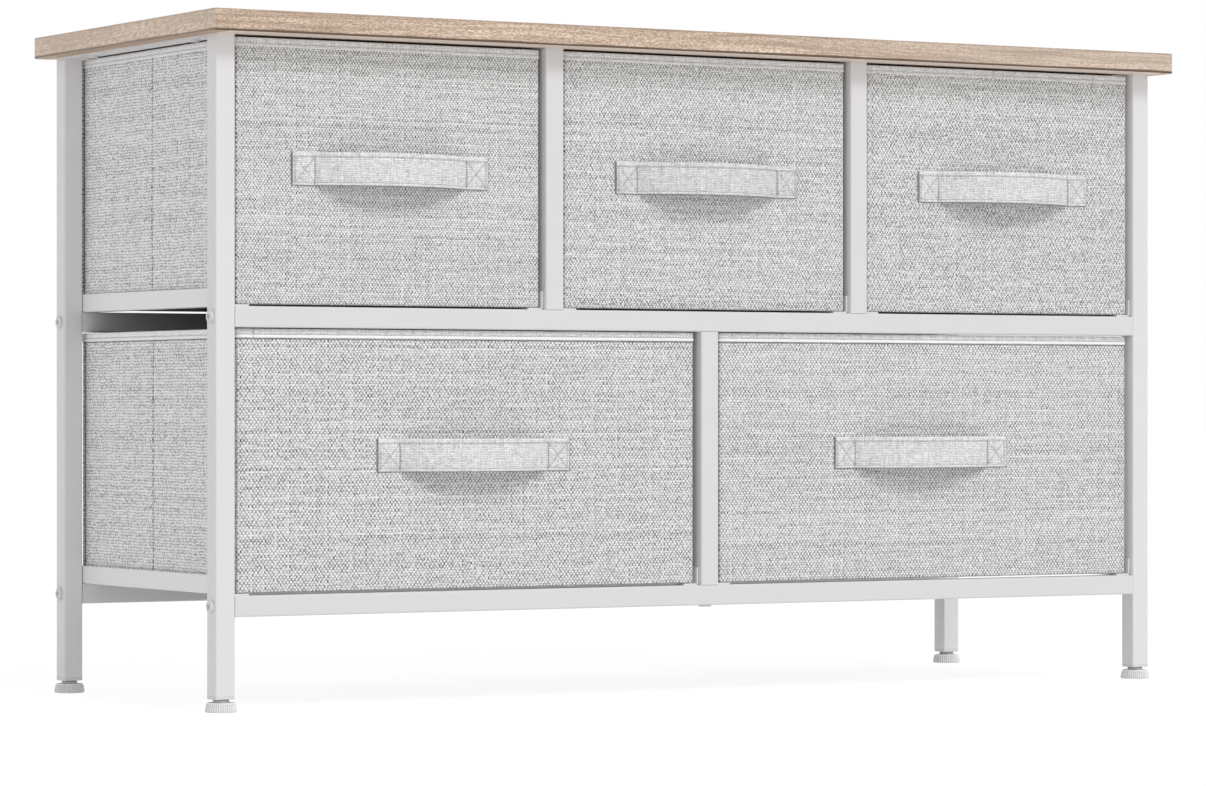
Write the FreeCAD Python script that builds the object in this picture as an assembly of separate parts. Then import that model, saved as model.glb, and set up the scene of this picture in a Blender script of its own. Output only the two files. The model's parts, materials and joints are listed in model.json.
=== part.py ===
import FreeCAD, Part
import math
import os

# Fabric drawer dresser: a steel tube frame with a wooden top, five fabric drawers on
# angle runners, and four levelling feet.  Millimetres.  +X is the object's right, +Y its
# rear, +Z up; the origin is on the floor, under the middle of the top board.

os.makedirs("parts", exist_ok=True)

# ---- driving dimensions ----------------------------------------------------------------
# top board and frame envelope
board_width = 1000.0
board_depth = 376.0
board_thickness = 19.0
board_corner = 3.0
board_edge_round = 1.2
overall_height = 590.0
side_overhang = 12.0
front_overhang = 23.0

# square steel tube
tube = 18.0
tube_wall = 1.0
tube_corner = 1.5

# heights of the two rows
bottom_rail_height = 80.0
lower_bay_height = 226.0
upper_bays = 3
lower_bays = 2

# angle runners
runner_sheet = 1.5
runner_bend = 0.5
runner_flange = 15.0
runner_lip = 16.0
runner_setback = 5.0
runner_side_gap = 0.3
peg_radius = 2.5
peg_drop = 4.0
peg_inset = 6.0

# top side bars
bar_height = 1.5
bar_screw_inset = 43.0

# drawers
drawer_setback = 6.0
drawer_seat_gap = 0.3
upper_side_gap = 4.0
lower_side_gap = 5.0
upper_head_room = 1.9
lower_head_room = 0.8
drawer_wall = 3.5
drawer_cloth = 1.2
base_board_thickness = 3.0
base_board_gap = 1.0
hem_height = 7.0
hem_cloth = 0.8

# handle straps
strap_length = 191.0
strap_width = 29.0
strap_thickness = 2.0
strap_tab = 23.0
strap_bow = 23.5
strap_centre_height = 115.5
upper_strap_shifts = (0.0, 0.0, 4.0)
lower_strap_shifts = (2.0, -8.0)

# plastic end inserts and leg plugs
insert_length = 20.0
insert_clearance = 0.1
plug_flange = 2.6
plug_length = 26.0
plug_rim_round = 0.4

# fasteners
hole_clearance = 0.3
thread_clearance = 0.05
bolt_radius = 3.0
bolt_head_radius = 5.7
bolt_head_height = 2.8
bolt_head_round = 1.6
bolt_socket = 4.0
bolt_socket_depth = 1.5
bolt_grip = 16.0
flat_head_radius = 5.8
flat_head_height = 1.4
post_stud_radius = 2.5
board_grip = 12.0
bar_screw_radius = 2.0
bar_screw_head_radius = 4.2
bar_screw_head_height = 2.0

# levelling feet
foot_height = 8.2
foot_radius = 13.6
foot_top_radius = 12.2
foot_flutes = 30
foot_flute_depth = 0.8
foot_boss_radius = 7.0
foot_boss_height = 2.5
foot_gap = 0.3
foot_stud_radius = 4.0
foot_stud_bury = 6.0
foot_stud_reach = 22.0
stud_running_clearance = 0.08

# ---- sizes that follow -----------------------------------------------------------------
frame_width = board_width - 2 * side_overhang
frame_depth = board_depth - 2 * front_overhang
board_bottom = overall_height - board_thickness
frame_right = frame_width / 2
frame_rear = frame_depth / 2
leg_x = frame_right - tube / 2
leg_y = frame_rear - tube / 2
leg_bottom = foot_height + foot_boss_height + foot_gap
rail_half = frame_right - tube
bottom_rail_top = bottom_rail_height + tube
mid_rail_height = bottom_rail_top + lower_bay_height
mid_rail_top = mid_rail_height + tube
bottom_rail_z = bottom_rail_height + tube / 2
mid_rail_z = mid_rail_height + tube / 2
tube_bore = tube - 2 * tube_wall
tube_bore_corner = max(tube_corner - tube_wall, 0.1)
insert_side = tube_bore - 2 * insert_clearance
drawer_front = -frame_rear + drawer_setback
drawer_depth = frame_depth - 2 * drawer_setback
runner_front = -frame_rear + runner_setback
runner_length = frame_depth - 2 * runner_setback

UP = FreeCAD.Vector(0, 0, 1)
DOWN = FreeCAD.Vector(0, 0, -1)
RIGHT = FreeCAD.Vector(1, 0, 0)
LEFT = FreeCAD.Vector(-1, 0, 0)


# ---- helpers ---------------------------------------------------------------------------
def point(x, y, z):
    return FreeCAD.Vector(x, y, z)


def save(name, solids):
    """Writes one node; several solids in a node stay separate solids."""
    shape = solids[0] if len(solids) == 1 else Part.makeCompound(solids)
    shape.exportStep("parts/" + name + ".step")


def block(x0, x1, y0, y1, z0, z1):
    """Box between two corners, given in either order."""
    corner = point(min(x0, x1), min(y0, y1), min(z0, z1))
    return Part.makeBox(abs(x1 - x0), abs(y1 - y0), abs(z1 - z0), corner)


def placed(shape, origin, direction):
    """The shape's local +Z turned to point along direction, its origin at origin."""
    shape = shape.copy()
    shape.Placement = FreeCAD.Placement(origin, FreeCAD.Rotation(UP, direction))
    return shape


def square_bar(side, corner, length):
    """Square bar along local +Z, with its four long edges rounded."""
    bar = Part.makeBox(side, side, length, point(-side / 2, -side / 2, 0))
    long_edges = [e for e in bar.Edges if abs(e.tangentAt(e.FirstParameter).z) > 0.9]
    return bar.makeFillet(corner, long_edges)


def square_tube(origin, direction, length):
    outer = square_bar(tube, tube_corner, length)
    bore = square_bar(tube_bore, tube_bore_corner, length)
    return placed(outer.cut(bore), origin, direction)


def rod(start, direction, radius, length):
    """Round solid, for a pin or for the hole that takes one."""
    return Part.makeCylinder(radius, length, start, direction)


def hex_prism(across_flats, height):
    corner = across_flats / math.sqrt(3)
    turns = [math.radians(60 * k) for k in range(7)]
    outline = Part.makePolygon([point(corner * math.cos(a), corner * math.sin(a), 0) for a in turns])
    return Part.Face(outline).extrude(point(0, 0, height))


def socket_bolt(length):
    """Button-head bolt: head above local z = 0, shank below it."""
    head = Part.makeCylinder(bolt_head_radius, bolt_head_height)
    rim = [e for e in head.Edges if abs(e.BoundBox.ZMin - bolt_head_height) < 1e-6]
    head = head.makeFillet(bolt_head_round, rim)
    socket = hex_prism(bolt_socket, bolt_socket_depth)
    socket.translate(point(0, 0, bolt_head_height - bolt_socket_depth))
    shank = Part.makeCylinder(bolt_radius, length, point(0, 0, 0), DOWN)
    return head.cut(socket).fuse(shank).removeSplitter()


def flat_screw(length):
    """Flat-head screw: head above local z = 0, shank below it."""
    head = Part.makeCylinder(flat_head_radius, flat_head_height)
    socket = hex_prism(bolt_socket, flat_head_height / 2)
    socket.translate(point(0, 0, flat_head_height / 2))
    shank = Part.makeCylinder(bolt_radius, length, point(0, 0, 0), DOWN)
    return head.cut(socket).fuse(shank).removeSplitter()


def tube_insert(bore_radius):
    """Plastic insert along local +Z, from the tube's end inwards, bored for a thread."""
    body = square_bar(insert_side, tube_bore_corner, insert_length)
    bore = Part.makeCylinder(bore_radius, insert_length)
    return body.cut(bore)


# ---- legs, plugs and feet --------------------------------------------------------------
leg_places = {
    "front_left": (-leg_x, -leg_y),
    "rear_left": (-leg_x, leg_y),
    "front_right": (leg_x, -leg_y),
    "rear_right": (leg_x, leg_y),
}


def leg(x, y):
    """Leg tube from its plug's flange to the board, cross-drilled for both rail bolts."""
    foot_of_tube = leg_bottom + plug_flange
    shape = square_tube(point(x, y, foot_of_tube), UP, board_bottom - foot_of_tube)
    for z in (bottom_rail_z, mid_rail_z):
        through = rod(point(x - tube / 2, y, z), RIGHT, bolt_radius + hole_clearance, tube)
        shape = shape.cut(through)
    return shape


def leg_plug(x, y):
    """Plug with a rounded flange in the leg's lower end, bored for the levelling stud."""
    flange = square_bar(tube, tube_corner, plug_flange)
    rims = [e for e in flange.Edges if e.BoundBox.ZLength < 1e-6]
    flange = placed(flange.makeFillet(plug_rim_round, rims), point(x, y, leg_bottom), UP)
    body_start = point(x, y, leg_bottom + plug_flange)
    body = placed(square_bar(insert_side, tube_bore_corner, plug_length), body_start, UP)
    bore_radius = foot_stud_radius + stud_running_clearance
    bore = rod(point(x, y, leg_bottom), UP, bore_radius, plug_flange + plug_length)
    return flange.fuse(body).removeSplitter().cut(bore)


def fluted_outline(radius, z):
    """Closed outline whose corners step in and out, one pair to a flute."""
    corners = []
    for k in range(2 * foot_flutes + 1):
        turn = math.pi * (k % (2 * foot_flutes)) / foot_flutes
        reach = radius - (k % 2) * foot_flute_depth
        corners.append(point(reach * math.cos(turn), reach * math.sin(turn), z))
    return Part.makePolygon(corners)


def foot_disc(x, y):
    """Tapered, fluted foot with a raised boss, moulded round the stud's end."""
    outlines = [fluted_outline(foot_radius, 0), fluted_outline(foot_top_radius, foot_height)]
    disc = Part.makeLoft(outlines, True, True)
    boss = rod(point(0, 0, foot_height), UP, foot_boss_radius, foot_boss_height)
    top = foot_height + foot_boss_height
    socket = rod(point(0, 0, top - foot_stud_bury), UP, foot_stud_radius + thread_clearance, foot_stud_bury)
    return placed(disc.fuse(boss).cut(socket), point(x, y, 0), UP)


def foot_stud(x, y):
    start = foot_height + foot_boss_height - foot_stud_bury
    return rod(point(x, y, start), UP, foot_stud_radius, foot_stud_bury + foot_gap + foot_stud_reach)


for place, (x, y) in leg_places.items():
    save(place + "_leg", [leg(x, y)])
    save(place + "_foot", [foot_disc(x, y)])
    save(place + "_foot_stud", [foot_stud(x, y)])
save("leg_plugs", [leg_plug(x, y) for x, y in leg_places.values()])


# ---- bays: where the posts, runners and drawers stand ----------------------------------
def bay_width(count):
    return (2 * rail_half - (count - 1) * tube) / count


def bay_left(count, index):
    return -rail_half + index * (bay_width(count) + tube)


def post_xs(count):
    return [bay_left(count, k) - tube / 2 for k in range(1, count)]


# ---- long rails ------------------------------------------------------------------------
def runner_peg_places(count):
    """X, Y of every peg under one row's runners."""
    places = []
    for k in range(count):
        left = bay_left(count, k) + runner_side_gap + runner_sheet + peg_inset
        right = bay_left(count, k) + bay_width(count) - runner_side_gap - runner_sheet - peg_inset
        places += [(x, y) for x in (left, right) for y in (-leg_y, leg_y)]
    return places


def long_rail(y, z):
    return square_tube(point(-rail_half, y, z), RIGHT, 2 * rail_half)


def peg_holes(y, rail_top, count):
    """Holes down into one rail, and into its end inserts, for the runner pegs."""
    xs = [peg_x for peg_x, peg_y in runner_peg_places(count) if peg_y == y]
    radius = peg_radius + hole_clearance
    return [rod(point(x, y, rail_top), DOWN, radius, peg_drop + hole_clearance) for x in xs]


def mid_rail(y):
    """Drilled for the runner pegs, and for the screws that hold the posts above and below."""
    shape = long_rail(y, mid_rail_z)
    cuts = peg_holes(y, mid_rail_top, upper_bays)
    for x in post_xs(upper_bays):
        cuts.append(rod(point(x, y, mid_rail_height), UP, flat_head_radius + hole_clearance, tube / 2))
        cuts.append(rod(point(x, y, mid_rail_z), UP, bolt_radius + hole_clearance, tube / 2))
    for x in post_xs(lower_bays):
        cuts.append(rod(point(x, y, mid_rail_z), UP, flat_head_radius + hole_clearance, tube / 2))
        cuts.append(rod(point(x, y, mid_rail_height), UP, bolt_radius + hole_clearance, tube / 2))
    return shape.cut(cuts)


def bottom_rail(y):
    """Drilled for the runner pegs and for the screws up into the lower posts."""
    shape = long_rail(y, bottom_rail_z)
    cuts = peg_holes(y, bottom_rail_top, lower_bays)
    for x in post_xs(lower_bays):
        cuts.append(rod(point(x, y, bottom_rail_height), UP, bolt_radius + hole_clearance, tube))
    return shape.cut(cuts)


save("front_mid_rail", [mid_rail(-leg_y)])
save("rear_mid_rail", [mid_rail(leg_y)])
save("front_bottom_rail", [bottom_rail(-leg_y)])
save("rear_bottom_rail", [bottom_rail(leg_y)])


# ---- posts -----------------------------------------------------------------------------
def post(x, y, bottom, top):
    return square_tube(point(x, y, bottom), UP, top - bottom)


post_sides = {"front": -leg_y, "rear": leg_y}
upper_post_names = ["left", "right"]
for side, y in post_sides.items():
    for name, x in zip(upper_post_names, post_xs(upper_bays)):
        save(side + "_upper_" + name + "_post", [post(x, y, mid_rail_top, board_bottom)])
    for x in post_xs(lower_bays):
        save(side + "_lower_post", [post(x, y, bottom_rail_top, mid_rail_height)])


# ---- end inserts: in both ends of every rail and post ----------------------------------
end_inserts = []
bolt_thread = bolt_radius + thread_clearance
stud_thread = post_stud_radius + thread_clearance
for y in post_sides.values():
    for z, count in ((bottom_rail_z, lower_bays), (mid_rail_z, upper_bays)):
        pegs = peg_holes(y, z + tube / 2, count)
        end_inserts.append(placed(tube_insert(bolt_thread), point(-rail_half, y, z), RIGHT).cut(pegs))
        end_inserts.append(placed(tube_insert(bolt_thread), point(rail_half, y, z), LEFT).cut(pegs))
    for x in post_xs(upper_bays):
        end_inserts.append(placed(tube_insert(bolt_thread), point(x, y, mid_rail_top), UP))
        end_inserts.append(placed(tube_insert(stud_thread), point(x, y, board_bottom), DOWN))
    for x in post_xs(lower_bays):
        end_inserts.append(placed(tube_insert(bolt_thread), point(x, y, bottom_rail_top), UP))
        end_inserts.append(placed(tube_insert(bolt_thread), point(x, y, mid_rail_height), DOWN))
save("tube_end_inserts", end_inserts)

# ---- frame fasteners -------------------------------------------------------------------
for side, outward, x in (("left", LEFT, -frame_right), ("right", RIGHT, frame_right)):
    bolts = []
    for y in post_sides.values():
        for z in (bottom_rail_z, mid_rail_z):
            bolts.append(placed(socket_bolt(tube + bolt_grip), point(x, y, z), outward))
    save(side + "_frame_bolts", bolts)

post_screws = []
post_top_studs = []
for y in post_sides.values():
    for x in post_xs(upper_bays):
        seat = mid_rail_top - tube_wall
        post_screws.append(placed(flat_screw(tube_wall + bolt_grip), point(x, y, seat), DOWN))
        stud_foot = point(x, y, board_bottom - bolt_grip)
        post_top_studs.append(rod(stud_foot, UP, post_stud_radius, bolt_grip + board_grip))
    for x in post_xs(lower_bays):
        seat = mid_rail_height + tube_wall
        post_screws.append(placed(flat_screw(tube_wall + bolt_grip), point(x, y, seat), UP))
        post_screws.append(placed(flat_screw(tube + bolt_grip), point(x, y, bottom_rail_height), DOWN))
save("post_screws", post_screws)
save("post_top_studs", post_top_studs)

# ---- top side bars and their screws ----------------------------------------------------
bar_half = frame_rear - tube
bar_bottom = board_bottom - bar_height
bar_screw_ys = (-bar_half + bar_screw_inset, bar_half - bar_screw_inset)
bar_screws = []
for side, x in (("left", -leg_x), ("right", leg_x)):
    bar = block(x - tube / 2, x + tube / 2, -bar_half, bar_half, bar_bottom, board_bottom)
    for y in bar_screw_ys:
        bar = bar.cut(rod(point(x, y, bar_bottom), UP, bar_screw_radius + hole_clearance, bar_height))
        head = rod(point(x, y, bar_bottom), DOWN, bar_screw_head_radius, bar_screw_head_height)
        shank = rod(point(x, y, bar_bottom), UP, bar_screw_radius, bar_height + board_grip)
        bar_screws.append(head.fuse(shank).removeSplitter())
    save(side + "_top_bar", [bar])
save("top_bar_screws", bar_screws)


# ---- top board -------------------------------------------------------------------------
def top_board():
    """Board with rounded corners and eased edges, pilot-drilled from below."""
    half_width = board_width / 2
    half_depth = board_depth / 2
    shape = block(-half_width, half_width, -half_depth, half_depth, board_bottom, overall_height)
    uprights = [e for e in shape.Edges if abs(e.tangentAt(e.FirstParameter).z) > 0.9]
    shape = shape.makeFillet(board_corner, uprights)
    rims = [e for e in shape.Edges if abs(e.tangentAt(e.FirstParameter).z) < 0.1]
    shape = shape.makeFillet(board_edge_round, rims)
    pilots = []
    for y in bar_screw_ys:
        for x in (-leg_x, leg_x):
            pilots.append(rod(point(x, y, board_bottom), UP, bar_screw_radius + thread_clearance, board_grip))
    for y in post_sides.values():
        for x in post_xs(upper_bays):
            pilots.append(rod(point(x, y, board_bottom), UP, post_stud_radius + thread_clearance, board_grip))
    return shape.cut(pilots)


save("top_board", [top_board()])


# ---- angle runners ---------------------------------------------------------------------
def long_edges_at(shape, corner):
    """The shape's edges that run front to rear through one X, Z corner of its section."""
    x, z = corner
    line = Part.makeLine(point(x, runner_front, z), point(x, runner_front + runner_length, z))
    return [e for e in shape.Edges if e.CenterOfMass.distanceToPoint(line.CenterOfMass) < 1e-6]


def runner(wall_x, inward, rail_top):
    """Angle: lip standing beside wall_x, flange lying on the rails towards the bay."""
    outer = wall_x + inward * runner_side_gap
    flange_edge = outer + inward * runner_flange
    lip_edge = outer + inward * runner_sheet
    rear = runner_front + runner_length
    flange = block(outer, flange_edge, runner_front, rear, rail_top, rail_top + runner_sheet)
    lip = block(outer, lip_edge, runner_front, rear, rail_top, rail_top + runner_lip)
    shape = flange.fuse(lip).removeSplitter()
    outer_corner = (outer, rail_top)
    inner_corner = (lip_edge, rail_top + runner_sheet)
    shape = shape.makeFillet(runner_bend + runner_sheet, long_edges_at(shape, outer_corner))
    shape = shape.makeFillet(runner_bend, long_edges_at(shape, inner_corner))
    for y in post_sides.values():
        shape = shape.fuse(rod(point(lip_edge + inward * peg_inset, y, rail_top), DOWN, peg_radius, peg_drop))
    return shape.removeSplitter()


def row_runners(row, count, rail_top, divider_names):
    """One runner at each end of a row, and a pair back to back at each divider."""
    save(row + "_left_runner", [runner(bay_left(count, 0), 1, rail_top)])
    for k, name in enumerate(divider_names, start=1):
        before = runner(bay_left(count, k) - tube, -1, rail_top)
        after = runner(bay_left(count, k), 1, rail_top)
        save(row + "_" + name + "_runners", [before, after])
    save(row + "_right_runner", [runner(rail_half, -1, rail_top)])


row_runners("upper", upper_bays, mid_rail_top, ["left_divider", "right_divider"])
row_runners("lower", lower_bays, bottom_rail_top, ["divider"])


# ---- drawers ---------------------------------------------------------------------------
def drawer_box(x0, x1, y0, y1, z0, z1):
    """Four cloth-covered stiff walls and a cloth floor, sewn edge to edge."""
    floor_top = z0 + drawer_cloth
    floor = block(x0, x1, y0, y1, z0, floor_top)
    front = block(x0, x1, y0, y0 + drawer_wall, floor_top, z1)
    rear = block(x0, x1, y1 - drawer_wall, y1, floor_top, z1)
    left = block(x0, x0 + drawer_wall, y0 + drawer_wall, y1 - drawer_wall, floor_top, z1)
    right = block(x1 - drawer_wall, x1, y0 + drawer_wall, y1 - drawer_wall, floor_top, z1)
    return [floor, front, rear, left, right]


def drawer_base(x0, x1, y0, y1, z0):
    """Loose stiff board lying on the cloth floor."""
    inset = drawer_wall + base_board_gap
    bottom = z0 + drawer_cloth
    return block(x0 + inset, x1 - inset, y0 + inset, y1 - inset, bottom, bottom + base_board_thickness)


def drawer_hem(x0, x1, y0, y1, z1):
    """Cloth band folded over the rim of each wall: outer skin, cap and lining."""
    low = z1 - hem_height
    top = z1 + hem_cloth
    bands = []
    for outer, inward in ((y0, 1), (y1, -1)):
        inner = outer + inward * drawer_wall
        skin = block(x0 - hem_cloth, x1 + hem_cloth, outer - inward * hem_cloth, outer, low, top)
        cap = block(x0 - hem_cloth, x1 + hem_cloth, outer, inner, z1, top)
        lining = block(x0 + drawer_wall, x1 - drawer_wall, inner, inner + inward * hem_cloth, low, top)
        bands.append(skin.fuse([cap, lining]).removeSplitter())
    for outer, inward in ((x0, 1), (x1, -1)):
        inner = outer + inward * drawer_wall
        seam = drawer_wall + hem_cloth
        skin = block(outer - inward * hem_cloth, outer, y0, y1, low, z1)
        cap = block(outer - inward * hem_cloth, inner, y0 + drawer_wall, y1 - drawer_wall, z1, top)
        lining = block(inner, inner + inward * hem_cloth, y0 + seam, y1 - seam, low, top)
        bands.append(skin.fuse([cap, lining]).removeSplitter())
    return bands


def strap(x, y, z):
    """Bowed strap: flat sewn tabs at both ends and a round arc between them."""
    half = strap_length / 2
    chord = half - strap_tab
    radius = (chord ** 2 + strap_bow ** 2) / (2 * strap_bow)
    centre = radius - strap_bow
    outer_radius = radius + strap_thickness
    outer_chord = math.sqrt(outer_radius ** 2 - (centre + strap_thickness) ** 2)
    face = -strap_thickness
    inner_arc = Part.Arc(point(-chord, 0, 0), point(0, -strap_bow, 0), point(chord, 0, 0))
    outer_peak = point(0, face - strap_bow, 0)
    outer_arc = Part.Arc(point(outer_chord, face, 0), outer_peak, point(-outer_chord, face, 0))
    edges = [
        Part.makeLine(point(-half, 0, 0), point(-chord, 0, 0)),
        inner_arc.toShape(),
        Part.makeLine(point(chord, 0, 0), point(half, 0, 0)),
        Part.makeLine(point(half, 0, 0), point(half, face, 0)),
        Part.makeLine(point(half, face, 0), point(outer_chord, face, 0)),
        outer_arc.toShape(),
        Part.makeLine(point(-outer_chord, face, 0), point(-half, face, 0)),
        Part.makeLine(point(-half, face, 0), point(-half, 0, 0)),
    ]
    shape = Part.Face(Part.Wire(edges)).extrude(point(0, 0, strap_width))
    shape.translate(point(x, y, z - strap_width / 2))
    return shape


def drawer(name, count, index, side_gap, rail_top, ceiling, head_room, strap_shift):
    """All four nodes of one drawer, filling one bay of a row."""
    x0 = bay_left(count, index) + side_gap
    x1 = bay_left(count, index) + bay_width(count) - side_gap
    y0 = drawer_front
    y1 = drawer_front + drawer_depth
    z0 = rail_top + runner_sheet + drawer_seat_gap
    z1 = ceiling - head_room - hem_cloth
    save(name + "_box", drawer_box(x0, x1, y0, y1, z0, z1))
    save(name + "_base_board", [drawer_base(x0, x1, y0, y1, z0)])
    save(name + "_hem", drawer_hem(x0, x1, y0, y1, z1))
    save(name + "_strap", [strap((x0 + x1) / 2 + strap_shift, y0, z0 + strap_centre_height)])


for k, place in enumerate(("left", "centre", "right")):
    drawer("upper_" + place + "_drawer", upper_bays, k, upper_side_gap,
           mid_rail_top, board_bottom, upper_head_room, upper_strap_shifts[k])
for k, place in enumerate(("left", "right")):
    drawer("lower_" + place + "_drawer", lower_bays, k, lower_side_gap,
           bottom_rail_top, mid_rail_height, lower_head_room, lower_strap_shifts[k])
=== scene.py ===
import json
import math
from itertools import accumulate

import bpy
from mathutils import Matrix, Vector, noise


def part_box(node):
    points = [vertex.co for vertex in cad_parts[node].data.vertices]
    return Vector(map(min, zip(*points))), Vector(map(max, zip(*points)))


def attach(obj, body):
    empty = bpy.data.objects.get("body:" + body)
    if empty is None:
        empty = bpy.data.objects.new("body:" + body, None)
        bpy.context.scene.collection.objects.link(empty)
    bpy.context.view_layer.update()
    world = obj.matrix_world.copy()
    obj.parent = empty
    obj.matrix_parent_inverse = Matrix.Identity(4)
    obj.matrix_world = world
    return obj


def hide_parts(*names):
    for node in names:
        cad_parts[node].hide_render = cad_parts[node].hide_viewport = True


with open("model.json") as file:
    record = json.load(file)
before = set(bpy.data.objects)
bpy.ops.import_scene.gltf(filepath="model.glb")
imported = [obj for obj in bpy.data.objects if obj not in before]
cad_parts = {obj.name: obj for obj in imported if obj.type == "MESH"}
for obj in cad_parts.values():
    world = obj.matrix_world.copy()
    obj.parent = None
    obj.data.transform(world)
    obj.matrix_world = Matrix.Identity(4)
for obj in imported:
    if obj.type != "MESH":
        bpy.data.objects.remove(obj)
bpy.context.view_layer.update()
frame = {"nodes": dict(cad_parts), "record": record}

# Fabric drawer dresser: the finish of the steel frame, the oak board and the feet, and the
# drawers as sewn cloth.  Metres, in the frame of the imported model.

mm = 0.001
upper_drawers = ["upper_left_drawer", "upper_centre_drawer", "upper_right_drawer"]
lower_drawers = ["lower_left_drawer", "lower_right_drawer"]
feet = ["front_left_foot", "rear_left_foot", "front_right_foot", "rear_right_foot"]
front_linen = {"upper_centre_drawer": "centre_linen", "upper_right_drawer": "right_linen"}

# a drawer's seed gives its cloth its own unevenness, and tells the drawers apart in a material
seed_step = 10
drawer_seeds = {
    drawer: seed_step * number for number, drawer in enumerate(upper_drawers + lower_drawers, 1)
}

# rounded boards: the line inside a rim is tan 22.5 degrees of its radius out
rim_middle = 0.414
closest_lines = 0.3 * mm

# cloth walls
wall_round = 1.6 * mm
wall_grid = 5 * mm
wall_crown = 0.5 * mm
wall_ripple = 0.35 * mm
floor_round = 0.5 * mm
base_clearance = 1 * mm
base_cover_round = 1.2 * mm
cloth_relief = 0.2 * mm

# the fold line near the middle of each side wall, and painted shade on it and at the walls' rear corners
fold_line_y = 8.6 * mm
fold_depth = 0.9 * mm
fold_width = 1.1 * mm
fold_grid = 0.9 * mm
fold_shade_width = 1.4 * mm
rear_corner_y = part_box("rear_left_leg")[0].y + 5.4 * mm
corner_shade_width = 2.4 * mm

# painted shade on the cloth just under the hems: a left drawer's hem stands for its row's
hem_shade = {"upper_left_drawer": 0.06, "lower_left_drawer": 0.55}
hem_shade_overlap = 2 * mm

# hem bands
hem_corner = 2.4 * mm
hem_corner_least = 0.25 * mm
hem_lap = 12 * mm
hem_grid = 4 * mm
hem_stitch_height = 3.0 * mm
hem_groove_offset = 0.62 * mm
hem_wave = 0.16 * mm
hem_outer_points = 13

# ribbed cloth of the hems and straps
hem_ribs = 1.4 * mm
strap_ribs = 1.5 * mm
rib_relief = 0.15 * mm

# stitches: pitch, length and radius of the thread, which is a tube with a few sides
strap_stitch = (3.3 * mm, 2.4 * mm, 0.26 * mm)
hem_stitch = (4.6 * mm, 2.7 * mm, 0.36 * mm)
stitch_sides = 6
thread_lift = 0.08 * mm

# handle straps: a tab at each end is sewn to the front, and the bow between them stands off it
strap_grid = 1.0 * mm
strap_bow_grid = 2.0 * mm
strap_rows = 30
strap_thickness = 2.0 * mm
strap_puff = 1.9 * mm
strap_crown = 0.35 * mm
strap_wobble = 0.08 * mm
strap_back = 0.15 * mm
strap_tab = 23 * mm
strap_box_start = 3.0 * mm
strap_box_end = strap_tab - 1 * mm
strap_seam_top = 4.3 * mm
strap_seam_low = 2.8 * mm
strap_groove = 0.8 * mm
strap_groove_width = 0.8 * mm
strap_box_groove_width = 0.7 * mm
strap_cross_groove = 0.35 * mm
strap_low, strap_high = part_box("upper_left_drawer_strap")
strap_width = strap_high.z - strap_low.z

# feet
foot_flutes = 40
foot_flute_depth = 0.9 * mm
foot_flute_top = 7.4 * mm
# heights over which the painted shade of the neck sets in
neck_shade_heights = (7.9 * mm, 8.3 * mm)
foot_steps = 240
foot_low, foot_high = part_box("rear_right_foot")
foot_centre = (foot_low + foot_high) / 2

# oak board
edge_line = (1.9 * mm, 2.8 * mm)
edge_wander = 2.6 * mm
rim_line = (0.8 * mm, 0.9 * mm)
# width of the painted shade on the underside's ends
underside_end_shade_width = 13 * mm

# studio: strength of the sky low down and overhead, and towards -X and +X; tones of the floor as
# the object and as the camera see it; direction, energy and angle of the lamps
sky_low, sky_high = 0.84, 0.56
sky_left, sky_right = 0.94, 0.95
floor_bounce, floor_lit = 0.88, 0.09
floor_shade, floor_glow = 0.20, 0.88
floor_half = 30.0
key_lamp = ((0.24, -1.0, 0.94), 1.13, 19)
fill_lamp = ((-0.51, -0.86, 0.04), 0.12, 10)

# thread pitches of the cloth, across and up: the lower fronts are a coarser cut than the
# upper ones, and all the side walls are stretched upwards
upper_threads = (1.43 * mm, 1.97 * mm)
lower_threads = (1.66 * mm, 2.23 * mm)
side_threads = (1.43 * mm, 2.56 * mm)


# ---- node graphs written as sums -------------------------------------------------------
class Signal:
    """A socket of a node graph that can be added, multiplied and compared like a number."""

    def __init__(self, graph, socket):
        self.graph = graph
        self.socket = socket

    def __add__(self, other):
        return self.graph.math("ADD", self, other)

    __radd__ = __add__

    def __sub__(self, other):
        return self.graph.math("SUBTRACT", self, other)

    def __rsub__(self, other):
        return self.graph.math("SUBTRACT", other, self)

    def __mul__(self, other):
        return self.graph.math("MULTIPLY", self, other)

    __rmul__ = __mul__

    def __truediv__(self, other):
        return self.graph.math("DIVIDE", self, other)

    def __gt__(self, other):
        return self.graph.math("GREATER_THAN", self, other)

    def __lt__(self, other):
        return self.graph.math("LESS_THAN", self, other)

    def __mod__(self, other):
        return self.graph.math("FLOORED_MODULO", self, other)

    def __pow__(self, other):
        return self.graph.math("POWER", self, other)

    def __abs__(self):
        return self.graph.math("ABSOLUTE", self)

    def __neg__(self):
        return self * -1.0


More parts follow.
